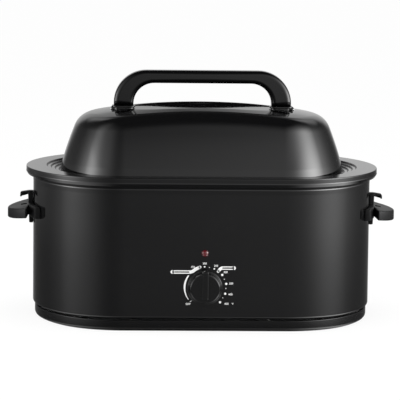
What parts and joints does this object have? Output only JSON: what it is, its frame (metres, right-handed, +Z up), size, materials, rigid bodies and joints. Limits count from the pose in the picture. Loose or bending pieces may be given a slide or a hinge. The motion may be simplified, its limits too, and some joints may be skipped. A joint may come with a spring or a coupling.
{
  "type": "electric roaster oven",
  "caption": "Countertop electric roaster oven: steel shell on a base tray, lift-out rimmed pan with wire rack, lift-off domed lid, front dial and lamp, side grips with lid hooks.",
  "frame": {"origin": "middle of the footprint, control knob and side grips included, on the table the feet stand on", "axes": "+X towards the oven's right end seen from the front, +Y towards its back, +Z up; the knob and lamp face -Y"},
  "size_m": [0.6276, 0.4246, 0.3925],
  "materials": {
    "shell_enamel": "gloss black",
    "tray_plastic": "satin black",
    "foot_rubber": "matte black",
    "well_steel": "dull steel",
    "heater_metal": "heat-tinted",
    "blanket_fibre": "glass fibre",
    "shield_aluminium": "bright",
    "fastener_steel": "zinc plated",
    "case_plastic": "moulded",
    "bracket_steel": "plain",
    "shaft_steel": "turned",
    "knob_plastic": "gloss black",
    "lens_red": "clear red",
    "holder_plastic": "moulded",
    "gland_plastic": "matte black",
    "grip_plastic": "satin black",
    "pan_enamel": "gloss black enamel",
    "rack_chrome": "plated wire",
    "lid_enamel": "gloss black",
    "lid_grip_plastic": "satin black",
    "lid_foot_plastic": "satin black",
    "pin_steel": "polished"
  },
  "bodies": {
    "base": {"outer_shell": "shell_enamel", "base_tray": "tray_plastic", "feet": "foot_rubber", "heating_well": "well_steel", "heater_band": "heater_metal", "heater_terminals": "fastener_steel", "insulation_blanket": "blanket_fibre", "heat_shield": "shield_aluminium", "tie_studs": "fastener_steel", "tie_nuts": "fastener_steel", "thermostat_case": "case_plastic", "thermostat_screws": "fastener_steel", "thermostat_bracket": "bracket_steel", "indicator_lens": "lens_red", "lamp_holder": "holder_plastic", "cord_gland": "gland_plastic", "left_handle": "grip_plastic", "right_handle": "grip_plastic", "side_screws": "fastener_steel"},
    "knob": {"control_knob": "knob_plastic", "thermostat_shaft": "shaft_steel"},
    "pan": {"roasting_pan": "pan_enamel"},
    "rack": {"roasting_rack": "rack_chrome", "rack_wires": "rack_chrome", "rack_bails": "rack_chrome"},
    "lid": {"lid_dome": "lid_enamel", "lid_handle": "lid_grip_plastic", "left_handle_foot": "lid_foot_plastic", "right_handle_foot": "lid_foot_plastic", "handle_pins": "pin_steel", "lid_screws": "fastener_steel"}
  },
  "joints": [
    {"name": "knob_turn", "type": "hinge", "parent": "base", "child": "knob", "pos_m": [0, -0.185, 0.0695], "axis": [0, 1, 0], "range_deg": [-135, 135]},
    {"name": "pan_lift", "type": "slide", "parent": "base", "child": "pan", "axis": [0, 0, 1], "range_m": [0, 0.2]},
    {"name": "lid_lift", "type": "slide", "parent": "pan", "child": "lid", "axis": [0, 0, 1], "range_m": [0, 0.25]},
    {"name": "rack_lift", "type": "slide", "parent": "pan", "child": "rack", "axis": [0, 0, 1], "range_m": [0, 0.15]}
  ],
  "couplings": [
    {"joint": "rack_lift", "follows": "lid_lift", "ratio": 0.6}
  ]
}
